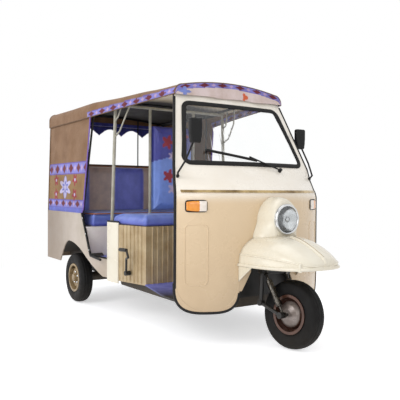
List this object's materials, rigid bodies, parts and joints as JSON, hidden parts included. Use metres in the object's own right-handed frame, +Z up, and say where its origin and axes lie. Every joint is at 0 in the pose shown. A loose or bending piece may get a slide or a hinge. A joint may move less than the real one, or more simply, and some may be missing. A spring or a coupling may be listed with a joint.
{
  "type": "auto rickshaw",
  "caption": "Three-wheeled auto rickshaw with an open cab, a canvas hood over a rear passenger bench, a raked steering fork and a domed front mudguard.",
  "frame": {"origin": "on the ground below the middle of the overall length and width", "axes": "+X forward along the vehicle, +Y to its left, +Z up"},
  "size_m": [2.93, 1.24, 1.68],
  "materials": {
    "cream_paint": "gloss",
    "black_paint": "satin",
    "rubber_trim": "matte",
    "floor_mat": "matte",
    "blue_vinyl": "satin",
    "curtain_cloth": "matte",
    "cast_metal": "matte",
    "rusty_steel": "matte",
    "glass": "gloss",
    "chrome": "polished",
    "lamp_glass": "gloss",
    "amber_lens": "gloss",
    "red_lens": "gloss",
    "black_plastic": "satin",
    "canvas": "matte",
    "tyre": "matte",
    "rim_paint": "satin"
  },
  "bodies": {
    "body": {"chassis_rails": "black_paint", "chassis_crossmembers": "black_paint", "steering_head": "black_paint", "front_floor": "floor_mat", "rear_floor": "floor_mat", "side_panel_right": "cream_paint", "side_panel_left": "cream_paint", "rear_panel": "cream_paint", "wheel_housings": "black_paint", "corner_panels": "cream_paint", "entry_rubbers": "rubber_trim", "rear_seat_base": "cream_paint", "rear_seat_cushion": "blue_vinyl", "rear_backrest": "blue_vinyl", "seat_box": "cream_paint", "driver_cushion": "blue_vinyl", "driver_backrest": "blue_vinyl", "engine": "cast_metal", "propeller_shaft": "black_paint", "rear_axle": "black_paint", "leaf_springs": "black_paint", "exhaust": "rusty_steel", "front_shell": "cream_paint", "door_rubbers": "rubber_trim", "windscreen": "glass", "windscreen_seal": "rubber_trim", "belt_trim": "chrome", "nose": "cream_paint", "headlamp_bezel": "chrome", "headlamp_lens": "lamp_glass", "front_mudguard": "cream_paint", "front_indicators": "amber_lens", "wiper": "black_plastic", "mirror_right": "black_plastic", "mirror_left": "black_plastic", "canopy_frame": "black_paint", "grab_poles": "black_paint", "roof_canvas": "canvas", "quarter_canvas_right": "canvas", "quarter_canvas_left": "canvas", "rear_canvas": "canvas", "rear_curtain": "curtain_cloth", "tail_lamps": "red_lens", "kick_starter": "chrome"},
    "steering": {"fork": "black_paint", "front_shocks": "chrome", "handlebar": "black_paint"},
    "front_wheel": {"front_tyre": "tyre", "front_rim": "rim_paint"},
    "rear_wheel_right": {"rear_tyre_right": "tyre", "rear_rim_right": "rim_paint"},
    "rear_wheel_left": {"rear_tyre_left": "tyre", "rear_rim_left": "rim_paint"}
  },
  "joints": [
    {"name": "steering", "type": "hinge", "parent": "body", "child": "steering", "pos_m": [0.94468, 0, 0.56], "axis": [-0.5, 0, 0.866], "range_deg": [-49, 31]},
    {"name": "front_wheel_spin", "type": "hinge", "parent": "steering", "child": "front_wheel", "pos_m": [1.17774, 0.00384, 0.20485], "axis": [-0.1355, 0.9877, -0.0782], "continuous": true},
    {"name": "rear_wheel_right_spin", "type": "hinge", "parent": "body", "child": "rear_wheel_right", "pos_m": [-0.867, -0.547, 0.205], "axis": [0, 1, 0], "continuous": true},
    {"name": "rear_wheel_left_spin", "type": "hinge", "parent": "body", "child": "rear_wheel_left", "pos_m": [-0.867, 0.547, 0.205], "axis": [0, 1, 0], "continuous": true}
  ]
}
